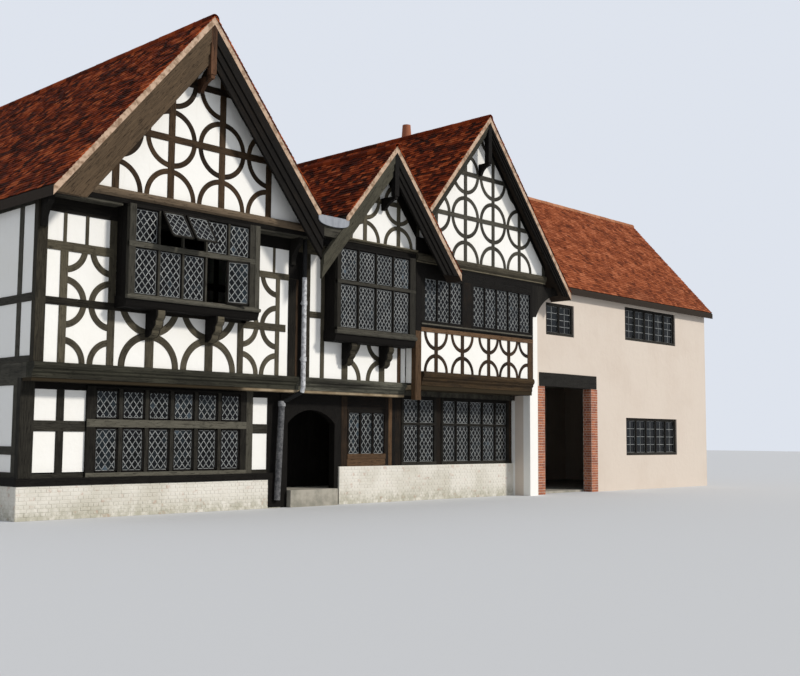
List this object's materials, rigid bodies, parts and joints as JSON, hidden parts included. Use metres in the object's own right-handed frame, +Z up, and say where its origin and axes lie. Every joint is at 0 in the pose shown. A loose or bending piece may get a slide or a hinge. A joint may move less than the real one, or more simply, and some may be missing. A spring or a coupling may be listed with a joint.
{
  "type": "half-timbered house",
  "caption": "Half-timbered house with jettied gabled fronts, hanging bay windows, ring-braced framing and a plastered side wing under tiled roofs.",
  "frame": {"origin": "ground level at the foot of the front wall, at the left corner of the ground storey's timber frame", "axes": "+X right along the front, +Y from the front wall towards the rear wall, +Z up"},
  "size_m": [26.11, 10.21, 10.8805],
  "materials": {
    "oak": "weathered, unpainted",
    "boards": "weathered boards",
    "plaster": "limewashed plaster",
    "limewashed_brick": "limewash over brick",
    "wing_render": "smooth warm render",
    "old_tiles": "mottled clay tiles",
    "orange_tiles": "clay tiles",
    "terracotta": "clay",
    "lead": "dull grey lead",
    "stone": "worn stone",
    "leaded_glass": "old uneven glass in lead"
  },
  "bodies": {
    "root": {"plinth_front": "limewashed_brick", "plinth_sides": "limewashed_brick", "door_step": "stone", "ground_floor": "stone", "ground_frame_left": "oak", "ground_panels_left": "plaster", "ground_window_left": "oak", "doorway_frame": "oak", "ground_frame_middle": "oak", "ground_window_middle": "oak", "ground_frame_right": "oak", "ground_window_right": "oak", "ground_glass": "leaded_glass", "jetty_beam_left": "oak", "jetty_beam_middle": "oak", "jetty_beam_right": "oak", "jetty_soffits": "plaster", "first_floor": "boards", "upper_frame_left": "oak", "upper_frame_middle": "oak", "upper_frame_right": "oak", "upper_panels": "plaster", "upper_window_right": "oak", "oriel_left": "oak", "oriel_middle": "oak", "oriel_brackets": "oak", "open_casements": "oak", "upper_glass": "leaded_glass", "gable_beams": "oak", "gable_soffits": "boards", "eaves_braces": "oak", "gable_frame_left": "oak", "gable_frame_middle": "oak", "gable_frame_right": "oak", "gable_panels": "plaster", "apex_pendants": "oak", "bargeboards_left": "oak", "bargeboards_middle": "oak", "bargeboards_right": "oak", "roof_left_outer": "old_tiles", "roof_left_inner": "old_tiles", "roof_middle_left": "old_tiles", "roof_middle_right": "old_tiles", "roof_right_inner": "old_tiles", "roof_right_outer": "old_tiles", "valley_gutter": "lead", "downpipe": "lead", "side_frame_left": "oak", "side_wall_left": "plaster", "side_wall_right": "plaster", "rear_frame": "oak", "rear_panels": "plaster", "wing_front_wall": "wing_render", "wing_end_wall": "wing_render", "wing_rear_wall": "wing_render", "wing_windows": "oak", "roof_wing_front": "orange_tiles", "roof_wing_rear": "orange_tiles", "chimney": "terracotta"}
  },
  "joints": []
}
